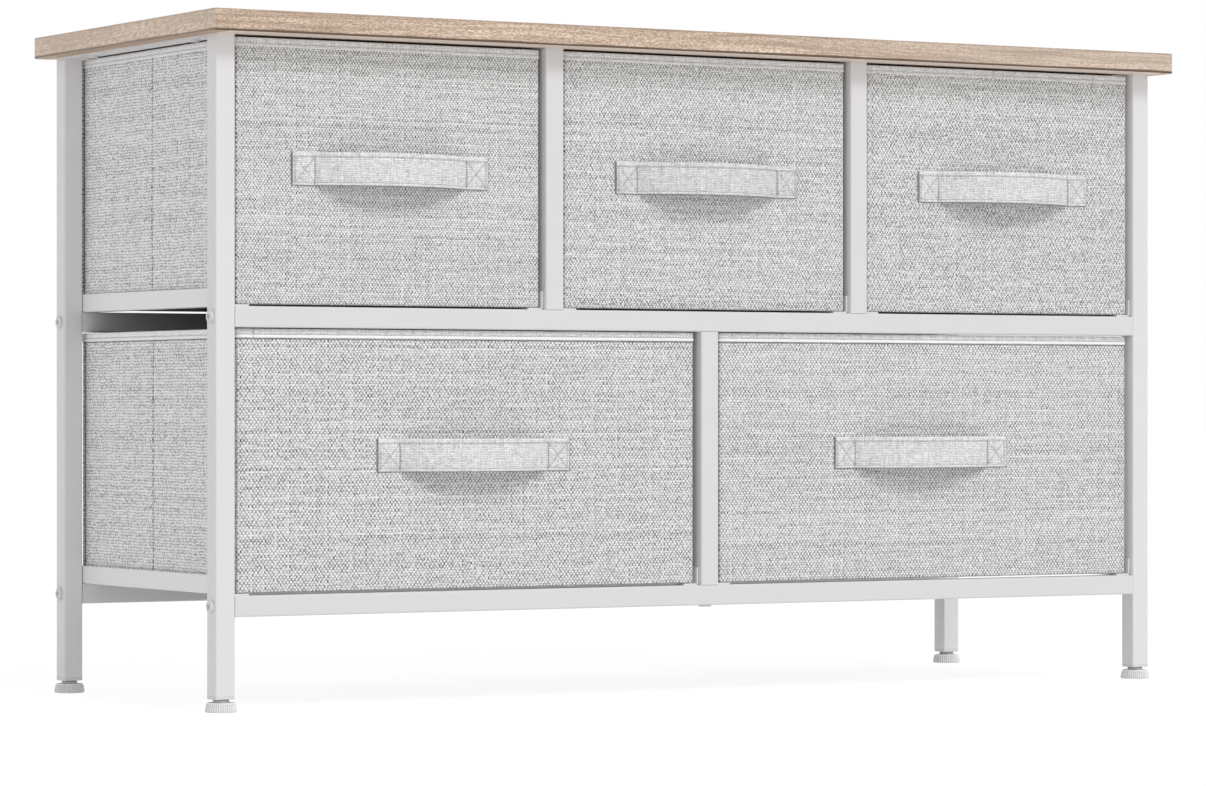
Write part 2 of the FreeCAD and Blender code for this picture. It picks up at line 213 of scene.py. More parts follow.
class Graph:
    """A material with one Principled shader, and the nodes that feed it."""

    def __init__(self, name, roughness, specular=0.5):
        self.material = bpy.data.materials.new(name)
        self.material.use_nodes = True
        self.tree = self.material.node_tree
        self.shader = self.tree.nodes["Principled BSDF"]
        self.shader.inputs["Roughness"].default_value = roughness
        self.shader.inputs["Specular IOR Level"].default_value = specular

    def feed(self, socket, value):
        if isinstance(value, Signal):
            self.tree.links.new(value.socket, socket)
        else:
            socket.default_value = value

    def add(self, kind, inputs, output=0, **settings):
        node = self.tree.nodes.new(kind)
        for name, value in settings.items():
            setattr(node, name, value)
        for name, value in inputs.items():
            self.feed(node.inputs[name], value)
        return Signal(self, node.outputs[output])

    def math(self, operation, *values):
        return self.add("ShaderNodeMath", dict(enumerate(values)), operation=operation)

    def vector(self, x, y, z=0.0):
        return self.add("ShaderNodeCombineXYZ", {0: x, 1: y, 2: z})

    def split(self, vector):
        node = self.tree.nodes.new("ShaderNodeSeparateXYZ")
        self.feed(node.inputs[0], vector)
        return [Signal(self, output) for output in node.outputs]

    def object_place(self):
        return self.add("ShaderNodeTexCoord", {}, "Object")

    def normal(self):
        return self.add("ShaderNodeTexCoord", {}, "Normal")

    def cloth_place(self):
        return self.add("ShaderNodeAttribute", {}, "Vector", attribute_name="cloth")

    def noise(self, vector, scale, detail=2.0, roughness=0.5):
        inputs = {"Vector": vector, "Scale": scale, "Detail": detail, "Roughness": roughness}
        return self.add("ShaderNodeTexNoise", inputs, "Fac")

    def chance(self, x, y, z):
        """A number from 0 to 1 for each whole x and y."""
        return self.add("ShaderNodeTexWhiteNoise", {"Vector": self.vector(x + 0.5, y + 0.5, z)}, "Value")

    def ramp(self, value, low, high, out_low=0.0, out_high=1.0):
        inputs = {"Value": value, "From Min": low, "From Max": high}
        inputs.update({"To Min": out_low, "To Max": out_high})
        return self.add("ShaderNodeMapRange", inputs, interpolation_type="SMOOTHSTEP")

    def colour(self, factor, first, second):
        """Mix two colours, whose sockets come after the node's number and vector ones."""
        node = self.tree.nodes.new("ShaderNodeMix")
        node.data_type = "RGBA"
        self.feed(node.inputs["Factor"], factor)
        self.feed(node.inputs[6], first)
        self.feed(node.inputs[7], second)
        return Signal(self, node.outputs[2])

    def tinted(self, tone, tint=(1.0, 1.0, 1.0)):
        """Grey tone times a fixed tint."""
        parts = [tone * share for share in tint]
        return self.add("ShaderNodeCombineColor", dict(enumerate(parts)))

    def finish(self, colour, height=None, depth=0.0, strength=1.0, roughness=None):
        self.feed(self.shader.inputs["Base Color"], colour)
        if roughness is not None:
            self.feed(self.shader.inputs["Roughness"], roughness)
        if height is not None:
            inputs = {"Height": height, "Distance": depth, "Strength": strength}
            self.feed(self.shader.inputs["Normal"], self.add("ShaderNodeBump", inputs))
        return self.material


# ---- materials -------------------------------------------------------------------------
def near(value, line, width):
    """1 on a line, 0 from one width away."""
    return value.graph.ramp(abs(value - line), 0.25 * width, width, 1.0, 0.0)


def larger(first, second):
    return first.graph.math("MAXIMUM", first, second)


def smaller(first, second):
    return first.graph.math("MINIMUM", first, second)


def of_drawer(side, drawer):
    """1 in the cloth of one drawer, from the seed in the third cloth coordinate."""
    seed = drawer_seeds[drawer]
    return (side > seed - seed_step / 2) * (side < seed + seed_step / 2)


def linen_graph(name):
    """A rough surface with the faint sheen of linen."""
    graph = Graph(name, roughness=0.85, specular=0.25)
    graph.shader.inputs["Sheen Weight"].default_value = 0.12
    graph.shader.inputs["Sheen Roughness"].default_value = 0.5
    return graph


def with_painted_seam_shade(graph, tone, painted_shade_reach, painted_fold_and_corner_shade):
    """Painted shade: darker on the fold lines of the dresser's left half, at the rear corners and under the
    hems.
    """
    x, y, z = graph.split(graph.object_place())
    crease = near(y, fold_line_y, fold_shade_width) * (x < 0.0)
    corner = near(y, rear_corner_y, corner_shade_width)
    tone = tone * (1.0 - painted_fold_and_corner_shade * crease) * (1.0 - 1.3 * painted_fold_and_corner_shade * corner)
    for drawer, depth in hem_shade.items():
        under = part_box(drawer + "_hem")[0].z - z
        fade = graph.ramp(under, 0.3 * painted_shade_reach, painted_shade_reach, 1.0, 0.0)
        tone = tone * (1.0 - depth * (under > -hem_shade_overlap) * fade)
    return tone


def woven_cloth(name, light, dark, coarse, dye, speck, weft_gap_shade, thick_every, limit, painted_shade_reach, painted_fold_and_corner_shade):
    """Plain weave: dots of dark weft in light warp, with a coarser weave showing through.

    coarse, dye and speck say how strong the coarser weave, the tones of single threads and the specks are;
    further arguments set the painted shade in the gaps between weft rows, how far down the painted shade
    under the hem reaches, and how dark the painted shade on the fold lines and rear corners is.
    """
    graph = linen_graph(name)
    place = graph.cloth_place()
    u, v, side = graph.split(place)
    drift = graph.noise(place, 0.09, detail=1.0) - 0.5
    sway = graph.noise(graph.vector(v, u, side + 3.0), 0.09, detail=1.0) - 0.5
    u = u + drift * 1.2
    v = v + sway * 0.8
    column = graph.math("FLOOR", u)
    row = graph.math("FLOOR", v)
    warp_round = graph.math("SINE", (u - column) * math.pi)
    weft_round = graph.math("SINE", (v - row) * math.pi)
    weave = graph.math("SINE", u * math.pi) * graph.math("SINE", v * math.pi)
    warp_over = weave > 0.0
    warp_height = warp_round ** 0.7 * (0.45 + 0.55 * weft_round)
    weft_height = weft_round ** 0.7 * (0.45 + 0.55 * warp_round)
    height = weft_height + warp_over * (warp_height - weft_height)

    def dyed(number, along, lane):
        """The tone of one thread, which changes slowly and quickly along it."""
        slow = graph.noise(graph.vector(along * 0.03, number * 5.37, side + lane), 1.0, detail=0.0)
        quick = graph.noise(graph.vector(along * 0.13, number * 7.41, side - lane), 1.0, detail=0.0)
        return dye * (0.7 * slow + 0.9 * quick - 0.8)

    def thick(number, every, width, along):
        """Every few threads a bright thick one lies on top in lengths, and a painted shadow darkens its
        neighbour.
        """
        bright = (number / every) % 1.0 < width / every
        # the neighbour's painted shadow
        shade = ((number - width) / every) % 1.0 < width / every
        which = graph.math("FLOOR", number / every)
        strong = 0.6 + 0.7 * graph.chance(which, every, side)
        return (bright - 0.7 * shade) * strong * graph.chance(graph.math("FLOOR", along), which, side)

    # the weft dots are darker than the warp; the last term is a painted highlight on the warp crowns
    tone = dark + (light - dark) * graph.ramp(weave, -0.5, -0.05) + 0.12 * graph.ramp(weave, 0.2, 0.9)
    fuzz = graph.noise(graph.vector(u * 1.6, v * 2.4, side), 1.0, detail=0.0)
    strand = graph.math("FLOOR", v * 2.0)
    tone = tone + (graph.chance(column, strand, side) + fuzz - 1.0) * speck
    tone = tone + 0.45 * dyed(column, v, 2.0) + 1.3 * dyed(strand, u, 5.0)
    tone = tone + 0.5 * dye * (graph.chance(row, 7.0, side) - 0.5)
    over_coarse = graph.math("SINE", u * (math.pi * 0.718)) * graph.math("SINE", v * (math.pi * 0.581))
    # the coarser weave, then painted shade in the gaps between the threads, away from the warp's and the
    # weft's crowns
    tone = tone * (1.0 + coarse * over_coarse) * (0.84 + 0.16 * warp_round)
    tone = tone * (1.0 - weft_gap_shade + weft_gap_shade * weft_round)
    tone = tone + 0.15 * thick(row, 4.7, 1.0, u * 0.2) * weft_round
    thick_width = max(1.0, round(thick_every / 9.0))
    tone = tone + 0.22 * thick(column, thick_every, thick_width, v * 0.6) * warp_round
    # painted shade on the fold lines, at the rear corners and under the hems
    tone = with_painted_seam_shade(graph, tone, painted_shade_reach, painted_fold_and_corner_shade)
    tone = smaller(larger(tone, 0.05), limit)
    return graph.finish(graph.tinted(tone), height, cloth_relief)


def ribbed_cloth(name, base_tone, rib_pitch, seams):
    """Fine cloth whose weft makes low ribs along the piece; seams puts the seams in the tone."""
    graph = linen_graph(name)
    u, v, side = graph.split(graph.cloth_place())
    sway = graph.noise(graph.vector(u * 40.0, v * 200.0, side), 1.0, detail=1.0) - 0.5
    ribs = v / rib_pitch + sway * 0.6
    row = graph.math("FLOOR", ribs)
    rib_round = graph.math("SINE", (ribs - row) * math.pi)
    thread = graph.noise(graph.vector(u * 150.0, row * 5.37, side), 1.0, detail=2.0) - 0.5
    grain = graph.noise(graph.vector(u * 800.0, v * 1100.0, side + 5.0), 1.0, detail=1.0) - 0.5
    warp = graph.noise(graph.vector(u * 700.0, v * 60.0, side + 9.0), 1.0, detail=0.0) - 0.5
    height = rib_round + grain * 0.6
    # the last term is painted shade between the ribs, lighter on their tops
    tone = base_tone + thread * 0.62 + grain * 1.05 + warp * 0.30 + (rib_round - 0.6) * 0.30
    tone = smaller(seams(graph, tone), 0.93)
    return graph.finish(graph.tinted(tone), height, rib_relief)


def hem_seam(graph, tone):
    """The stitches lie in a dark line of painted shade in their groove; the lip below them has a painted
    highlight, strong on the lower drawers, and the side faces are painted lighter.
    """
    u, v, side = graph.split(graph.cloth_place())
    is_lower = side > drawer_seeds["lower_left_drawer"] - seed_step / 2
    # painted highlight on the lip, strong on the lower drawers
    lip = graph.ramp(v, 4.2 * mm, 4.5 * mm, 1.0, 0.0) * (0.04 + 0.34 * is_lower)
    lap = near(u, hem_lap, 1.1 * mm) * of_drawer(side, "lower_left_drawer") * 0.45
    # painted light: the hem is lighter on faces turned sideways
    on_side = abs(graph.split(graph.normal())[0]) > 0.7
    # painted shade in the stitch groove, deeper on the lower drawers; lap is the dark line where the band
    # overlaps
    line = near(v, 4.6 * mm, 0.7 * mm) * (0.22 + 0.24 * is_lower)
    return (tone + lip + 0.16 * on_side) * (1.0 - larger(line, lap))


def strap_seams(graph, tone):
    """Two long seams and a crossed box at each end, from the distance to the nearer end, with painted shade
    in their grooves, and painted shadow along the ends and the lower edge.
    """
    side = graph.split(graph.cloth_place())[2]
    tone = tone * (1.0 - 0.07 * of_drawer(side, "upper_centre_drawer"))
    tab, rise = graph.split(graph.add("ShaderNodeAttribute", {}, "Vector", attribute_name="tab"))[:2]
    low, high, start, end = strap_seam_low, strap_width - strap_seam_top, strap_box_start, strap_box_end
    inside = (tab > start) * (tab < end) * (rise > low) * (rise < high)
    across = (rise - low) * ((end - start) / (high - low))
    cross = larger(near(across - tab, -start, 0.9 * mm), near(across + tab, end, 0.9 * mm))
    # painted shade in the seam and box grooves, darkest at the box end by the bow
    long_seams = larger(near(rise, low, 0.8 * mm) * 0.55, near(rise, high, 1.0 * mm) * 0.75)
    box_ends = larger(near(tab, start, 1.0 * mm) * 0.7, near(tab, end, 1.1 * mm) * 1.3)
    box_ends = box_ends * (rise > low - 1.2 * mm) * (rise < high + 1.0 * mm)
    seam = larger(larger(long_seams, box_ends), cross * inside)
    selvage = larger(rise < low - 0.3 * mm, rise > high + 0.6 * mm)
    # painted shadow along the strap's ends and lower edge
    rim = larger(tab < 1.1 * mm, rise < 0.8 * mm)
    return (tone + 0.05 * selvage) * (1.0 - 0.40 * seam) * (1.0 - 0.60 * rim)


def thread_material():
    graph = Graph("sewing_thread", roughness=0.6, specular=0.3)
    twist = graph.noise(graph.object_place(), 2500.0, detail=1.0)
    return graph.finish(graph.tinted(0.42 + twist * 0.2), twist, 0.05 * mm)


def painted_steel(name, tone):
    """White powder coat: faint orange peel and a slightly uneven gloss."""
    graph = Graph(name, roughness=0.38)
    place = graph.object_place()
    peel = graph.noise(place, 900.0, detail=1.0)
    speck = graph.noise(place, 2600.0, detail=0.0)
    haze = graph.noise(place, 14.0, detail=3.0)
    shade = tone + (haze - 0.5) * 0.02 - graph.ramp(speck, 0.78, 0.84) * 0.05
    colour = graph.tinted(shade, (1.0, 0.983, 0.990))
    gloss = 0.34 + haze * 0.12
    return graph.finish(colour, peel + haze * 0.5, 0.03 * mm, 0.5, gloss)


def zinc_plate():
    graph = Graph("zinc_plate", roughness=0.4)
    graph.shader.inputs["Metallic"].default_value = 1.0
    x, y, z = graph.split(graph.object_place())
    turning = graph.noise(graph.vector(x * 40.0, y * 40.0, z * 1500.0), 1.0)
    bloom = graph.noise(graph.object_place(), 160.0, detail=3.0)
    colour = graph.tinted(0.64 + bloom * 0.16, (1.0, 1.0, 1.02))
    return graph.finish(colour, turning, 0.05 * mm, 0.6, 0.3 + bloom * 0.25)


def foot_plastic(tone, glow):
    """Milky polythene with a fine moulded grain, with painted shade in the flutes and up the neck."""
    graph = Graph("foot_plastic", roughness=0.45, specular=0.4)
    graph.shader.inputs["Subsurface Weight"].default_value = glow
    graph.shader.inputs["Subsurface Radius"].default_value = (0.004, 0.004, 0.004)
    graph.shader.inputs["Subsurface Scale"].default_value = 1.0
    place = graph.object_place()
    grain = graph.noise(place, 1800.0, detail=2.0)
    cloud = graph.noise(place, 120.0, detail=2.0)
    x, y, z = graph.split(place)
    turn = graph.math("ARCTAN2", abs(y) - foot_centre.y, abs(x) - foot_centre.x)
    # painted shade in the flute grooves, and on the shoulder and neck above these heights
    flute = abs(graph.math("COSINE", turn * (foot_flutes / 2))) * (z < foot_flute_top)
    neck = graph.ramp(z, *neck_shade_heights, 1.0, 0.60) * (1.10 - 0.34 * flute)
    colour = graph.tinted((tone + (cloud - 0.5) * 0.05) * neck, (1.0, 0.995, 0.985))
    return graph.finish(colour, grain, 0.03 * mm, 0.5, 0.4 + grain * 0.12)


def non_woven(name, tone):
    """Pressed felt on the loose base boards, with a grid of weld dots."""
    graph = Graph(name, roughness=0.95, specular=0.15)
    place = graph.cloth_place()
    u, v = graph.split(place)[:2]
    dot_pitch = 1.6 * mm
    dots_u = graph.math("SINE", u * (math.pi / dot_pitch))
    dots_v = graph.math("SINE", v * (math.pi / dot_pitch))
    dots = graph.ramp(dots_u * dots_v, 0.45, 0.8)
    fuzz = graph.noise(place, 900.0, detail=3.0)
    colour = graph.tinted(tone + (fuzz - 0.5) * 0.10 - dots * 0.04)
    return graph.finish(colour, fuzz - dots * 0.8, 0.25 * mm)


def oak_board():
    """Pale oak foil: streaks along the board, open pores, and a dark line at the lower edge."""
    graph = Graph("pale_oak", roughness=0.5, specular=0.35)
    board_low, board_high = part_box("top_board")
    x, y, z = graph.split(graph.object_place())
    facing_x, _, facing_z = graph.split(graph.normal())
    on_end = abs(facing_x) > 0.7
    on_rim = 1.0 - (abs(facing_z) > 0.7)
    below = -facing_z > 0.7
    along = x + on_end * (y - x)
    across = y + on_end * (x - y)
    bend = graph.noise(graph.vector(along * 3.0, across * 9.0, z * 9.0), 1.0, detail=2.0) - 0.5
    ring = graph.noise(
        graph.vector(along * 1.6, across * 26.0 + bend * 4.0, z * 60.0 + bend * 3.0), 1.0, detail=3.0
    )
    streak = graph.noise(
        graph.vector(along * 7.0, across * 320.0, z * 420.0 + bend * 16.0), 1.0, detail=3.0, roughness=0.65
    )
    fleck = graph.noise(graph.vector(along * 75.0, across * 1100.0, z * 1300.0), 1.0, detail=2.0)
    pores = graph.ramp(fleck, 0.60, 0.72)
    # short flecks, level on the long sides and slanting on the ends
    grit_along = along * (430.0 - 310.0 * on_end)
    grit_up = z * (1250.0 - 500.0 * on_end) + along * on_end * 205.0
    grit = graph.noise(graph.vector(grit_along, across * 800.0, grit_up), 1.0, detail=1.0, roughness=0.6)
    wander = graph.noise(graph.vector(along * 11.0, across * 4.0, 7.0), 1.0, detail=3.0) - 0.5
    edge = (1.0 - graph.ramp(z - board_low.z + wander * edge_wander, *edge_line)) * on_rim
    rim = near(z, board_high.z - rim_line[0], rim_line[1]) * on_rim
    # painted shade on the underside where it overhangs the ends
    underside_end_shade = below * (abs(x) > board_high.x - underside_end_shade_width)
    grain = graph.ramp(streak, 0.32, 0.66) * 0.62 + graph.ramp(ring, 0.35, 0.68) * 0.38
    colour = graph.colour(grain, (0.38, 0.270, 0.195, 1.0), (0.86, 0.69, 0.550, 1.0))
    layers = (
        # grit, the warmer ends, the duller right half, pores
        (graph.ramp(grit, 0.38, 0.60, 0.66 + 0.24 * on_end, 0.0), (0.30, 0.21, 0.14, 1.0)),
        (0.32 * on_end, (0.98, 0.82, 0.69, 1.0)),
        (graph.ramp(x, -0.1, 0.4, 0.0, 0.22), (0.82, 0.72, 0.66, 1.0)),
        (pores * 0.42, (0.27, 0.18, 0.12, 1.0)),
        # the line at the lower edge, the one at the upper edge, the underside, and painted shade on its
        # ends
        (edge * (0.95 - 0.25 * on_end), (0.11, 0.064, 0.036, 1.0)),
        (rim * 0.35, (0.30, 0.21, 0.15, 1.0)),
        (below * 0.8, (0.86, 0.74, 0.65, 1.0)),
        (underside_end_shade * 0.85, (0.42, 0.28, 0.18, 1.0)),
    )
    for share, paint in layers:
        colour = graph.colour(share, colour, paint)
    height = streak * 0.6 - pores * 0.9
    return graph.finish(colour, height, 0.12 * mm, 0.7, 0.42 + streak * 0.2)


# each weave sets painted shade: its first entry in the gaps between weft rows, its last two under the hems
# and on the fold lines and rear corners
front_weave = {"weft_gap_shade": 0.56, "thick_every": 7.2, "limit": 0.88, "painted_shade_reach": 2.6 * mm, "painted_fold_and_corner_shade": 0.0}
side_weave = {"weft_gap_shade": 0.70, "thick_every": 17.3, "limit": 0.95, "painted_shade_reach": 2.2 * mm, "painted_fold_and_corner_shade": 0.60}
materials = {
    "oak_top": oak_board(),
    "white_steel": painted_steel("white_powder_coat", 0.74),
    # darker and lighter copies of the white powder coat: painted shade on the rails and posts, painted
    # light on the runners
    "rail_steel_painted_shade": painted_steel("rail_powder_coat_painted_shade", 0.70),
    "runner_steel_painted_light": painted_steel("runner_powder_coat_painted_light", 0.81),
    "painted_fasteners": painted_steel("painted_fasteners", 0.68),
    "zinc_steel": zinc_plate(),
    "foot_plastic": foot_plastic(tone=0.84, glow=0.1),
    "plug_plastic": painted_steel("plug_plastic", 0.69),
    "drawer_fabric": woven_cloth(
        "drawer_linen", light=1.00, dark=0.41, coarse=0.23, dye=0.32, speck=0.52, **front_weave
    ),
    "centre_linen": woven_cloth(
        "centre_linen", light=1.02, dark=0.43, coarse=0.36, dye=0.34, speck=0.66, **front_weave
    ),
    "right_linen": woven_cloth(
        "right_linen", light=1.06, dark=0.45, coarse=0.50, dye=0.36, speck=1.00, **front_weave
    ),
    # the side walls' linen: the fronts' weave stretched upwards, with painted light, a lighter tone than
    # the fronts'
    "side_linen_painted_light": woven_cloth(
        "side_linen_painted_light", light=1.34, dark=0.85, coarse=0.24, dye=0.40, speck=1.30, **side_weave
    ),
    "hem_fabric": ribbed_cloth("hem_linen", 0.74, hem_ribs, hem_seam),
    "strap_fabric": ribbed_cloth("strap_linen", 0.685, strap_ribs, strap_seams),
    "base_board": non_woven("base_felt", 0.42),
    "thread": thread_material(),
}
for part in frame["record"]["subparts"]:
    node = part["node"]
    if node in frame["nodes"]:
        look = part["material_slot"]
        # rails and posts get the painted-shade copy of the powder coat, runners the painted-light copy
        if node.endswith(("_rail", "_post")):
            look = "rail_steel_painted_shade"
        if node.endswith(("_runner", "_runners")):
            look = "runner_steel_painted_light"
        for material_slot in frame["nodes"][node].material_slots:
            material_slot.material = materials[look]


# ---- mesh helpers ----------------------------------------------------------------------
def point_vectors(mesh, name, spots):
    """A vector at each point, which the materials read by its name."""
    values = [number for spot in spots for number in spot]
    mesh.attributes.new(name, "FLOAT_VECTOR", "POINT").data.foreach_set("vector", values)


def new_piece(name, vertices, faces, slot, body, nodes=(), cloth=None, material=None):
    """A smooth mesh object that rides on a body, and its coordinates in the cloth."""
    mesh = bpy.data.meshes.new(name)
    mesh.from_pydata([tuple(v) for v in vertices], [], faces)
    mesh.shade_smooth()
    if cloth is not None:
        point_vectors(mesh, "cloth", cloth)
    mesh.materials.append(materials[material or slot])
    piece = bpy.data.objects.new(name, mesh)
    bpy.context.scene.collection.objects.link(piece)
    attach(piece, body)
    if nodes:
        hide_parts(*nodes)
    return piece


def axis_lines(half, radius, grid, extra=()):
    """Grid lines from -half to half: close in the rounded rims, even between, and the extra ones."""
    flat = half - radius
    lines = [-half, -flat - rim_middle * radius]
    count = max(1, round(2 * flat / grid))
    lines += [-flat + 2 * flat * k / count for k in range(count + 1)]
    lines += [flat + rim_middle * radius, half]
    for line in extra:
        lines = [old for old in lines if abs(old - line) > closest_lines or abs(old) >= flat]
        lines.append(line)
    return sorted(lines)


def rounded_board(low, high, radius, grid, extra=None):
    """Vertices and faces of a closed board with rounded rims, between two corners."""
    centre = (low + high) / 2
    half = (high - low) / 2
    lines = [axis_lines(half[k], radius, grid, (extra or {}).get(k, ())) for k in range(3)]
    index = {}
    vertices = []
    faces = []

    def corner(spot):
        key = tuple(round(c, 7) for c in spot)
        if key not in index:
            inner = Vector([max(-half[k] + radius, min(half[k] - radius, spot[k])) for k in range(3)])
            away = (Vector(spot) - inner).normalized()
            index[key] = len(vertices)
            vertices.append(centre + inner + radius * away)
        return index[key]

    for axis in range(3):
        first, second = (axis + 1) % 3, (axis + 2) % 3
        for sign in (-1, 1):
            for a, b in zip(lines[first], lines[first][1:]):
                for c, d in zip(lines[second], lines[second][1:]):
                    quad = []
                    for p, q in ((a, c), (b, c), (b, d), (a, d)):
                        spot = [0.0, 0.0, 0.0]
                        spot[axis], spot[first], spot[second] = sign * half[axis], p, q
                        quad.append(corner(spot))
                    faces.append(quad if sign > 0 else quad[::-1])
    return vertices, faces


def ripple(spot, seed):
    """Slow unevenness of a cloth surface, from -1 to 1."""
    shift = Vector((seed * 3.1, seed * 1.7, seed * 0.9))
    return noise.noise(spot * 14.0 + shift) * 0.7 + noise.noise(spot * 38.0 - shift) * 0.3


def inside_share(value, low, high):
    """0 at both ends of a range and 1 at its middle."""
    share = max(0.0, min(1.0, (value - low) / (high - low)))
    return 4 * share * (1 - share)


# ---- drawer walls and floor ------------------------------------------------------------
def cloth_wall(name, body, low, high, axis, outward, seed, threads, nodes=()):
    """One stiffened wall: a cloth-covered board that bows a little and ripples.

    The side walls, which face along X, also have a fold line.
    """
    across = 1 - axis
    is_side = axis == 0
    extra = None
    if is_side:
        middle = fold_line_y - (low[across] + high[across]) / 2
        extra = {across: [middle + k * fold_grid for k in range(-3, 4)]}
    vertices, faces = rounded_board(low, high, wall_round, wall_grid, extra)
    centre = (low[axis] + high[axis]) / 2
    cloth = []
    for spot in vertices:
        cloth.append((spot[across] / threads[0], spot.z / threads[1], float(seed)))
        rise = inside_share(spot[across], low[across], high[across])
        rise *= inside_share(spot.z, low.z, high.z)
        move = outward * (wall_crown * rise + wall_ripple * rise ** 0.5 * ripple(spot, seed))
        if is_side:
            side = 1 if spot[axis] > centre else -1
            move -= side * fold_depth * math.exp(-(((spot[across] - fold_line_y) / fold_width) ** 2))
        spot[axis] += move
    # the side walls take the lighter linen, with painted light
    linen = "side_linen_painted_light" if is_side else front_linen.get(body, "drawer_fabric")
    return new_piece(name, vertices, faces, "drawer_fabric", body, nodes, cloth, linen)


def wall_thickness(drawer):
    """From the room that the base board and its clearance take up inside the walls."""
    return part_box(drawer + "_base_board")[0].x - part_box(drawer + "_box")[0].x - base_clearance


def drawer_walls(drawer, seed):
    low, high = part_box(drawer + "_box")
    wall = wall_thickness(drawer)
    threads = lower_threads if drawer in lower_drawers else upper_threads
    front_high = Vector((high.x, low.y + wall, high.z))
    cloth_wall(drawer + "_front_wall", drawer, low, front_high, 1, -1, seed, threads, [drawer + "_box"])
    rear_low = Vector((low.x, high.y - wall, low.z))
    cloth_wall(drawer + "_rear_wall", drawer, rear_low, high, 1, 1, seed + 1, threads)
    left_low = Vector((low.x, low.y + wall, low.z))
    left_high = Vector((low.x + wall, high.y - wall, high.z))
    cloth_wall(drawer + "_left_wall", drawer, left_low, left_high, 0, -1, seed + 2, side_threads)
    right_low = Vector((high.x - wall, low.y + wall, low.z))
    right_high = Vector((high.x, high.y - wall, high.z))
    cloth_wall(drawer + "_right_wall", drawer, right_low, right_high, 0, 1, seed + 3, side_threads)
    inner_low = Vector((low.x + wall, low.y + wall, low.z))
    inner_high = Vector((high.x - wall, high.y - wall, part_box(drawer + "_base_board")[0].z))
    vertices, faces = rounded_board(inner_low, inner_high, floor_round, 2 * wall_grid)
    cloth = [(spot.x / threads[0], spot.y / threads[1], float(seed)) for spot in vertices]
    new_piece(drawer + "_cloth_floor", vertices, faces, "drawer_fabric", drawer, (), cloth)


def covered_base(drawer, seed):
    node = drawer + "_base_board"
    low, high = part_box(node)
    vertices, faces = rounded_board(low, high, base_cover_round, 2 * wall_grid)
    cloth = [(spot.x, spot.y, float(seed)) for spot in vertices]
    new_piece(node + "_cover", vertices, faces, "base_board", drawer, [node], cloth)


# ---- hem bands -------------------------------------------------------------------------
def distances(points, span=math.dist):
    """The distance gone at each point of a path."""
    return list(accumulate((span(a, b) for a, b in zip(points, points[1:])), initial=0.0))


def vector_span(start, end):
    """In single precision: a strap's grid meets its box seams exactly, and rounding picks a side."""
    return (end - start).length


def rim_ring(low, high, offset):
    """Points (x, y) round the drawer's rim, at one offset from the wall's outer face."""
    radius = max(hem_corner + offset, hem_corner_least)
    x0, x1 = low.x - offset + radius, high.x + offset - radius
    y0, y1 = low.y - offset + radius, high.y + offset - radius
    count_x = round((high.x - low.x) / hem_grid)
    count_y = round((high.y - low.y) / hem_grid)
    ring = []
    sides = (
        ((x0, y0), (x1, y0), -90, count_x),
        ((x1, y0), (x1, y1), 0, count_y),
        ((x1, y1), (x0, y1), 90, count_x),
        ((x0, y1), (x0, y0), 180, count_y),
    )
    for (ax, ay), (bx, by), degrees, count in sides:
        out_x, out_y = math.cos(math.radians(degrees)), math.sin(math.radians(degrees))
        for k in range(count + 1):
            share = k / count
            ring.append((ax + (bx - ax) * share + radius * out_x, ay + (by - ay) * share + radius * out_y))
        for turn in (22.5, 45, 67.5):
            angle = math.radians(degrees + turn)
            ring.append((bx + radius * math.cos(angle), by + radius * math.sin(angle)))
    return ring


def hem_section(top, cap, bottom, wall):
    """Offset from the wall's outer face, and height, from the lower lip over the rim."""
    groove = bottom + hem_stitch_height
    return [
        (-0.3 * mm, bottom + 0.5 * mm),
        (0.2 * mm, bottom + 0.05 * mm),
        (0.75 * mm, bottom),
        (1.15 * mm, bottom + 0.35 * mm),
        (1.3 * mm, bottom + 0.9 * mm),
        (1.25 * mm, bottom + 1.6 * mm),
        (1.0 * mm, groove - 0.7 * mm),
        (0.65 * mm, groove - 0.25 * mm),
        (0.55 * mm, groove),
        (0.65 * mm, groove + 0.3 * mm),
        (0.9 * mm, groove + 0.9 * mm),
        (1.0 * mm, groove + 1.8 * mm),
        (0.95 * mm, top - 0.6 * mm),
        (0.7 * mm, top + 0.2 * mm),
        (0.2 * mm, cap - 0.1 * mm),
        (-0.8 * mm, cap),
        (-wall + 0.8 * mm, cap),
        (-wall - 0.2 * mm, cap - 0.1 * mm),
        (-wall - 0.7 * mm, top + 0.2 * mm),
        (-wall - 0.9 * mm, top - 0.7 * mm),
        (-wall - 0.8 * mm, groove),
        (-wall - 0.9 * mm, bottom + 0.6 * mm),
        (-wall - 0.5 * mm, bottom),
        (-wall + 0.3 * mm, bottom + 0.5 * mm),
    ]


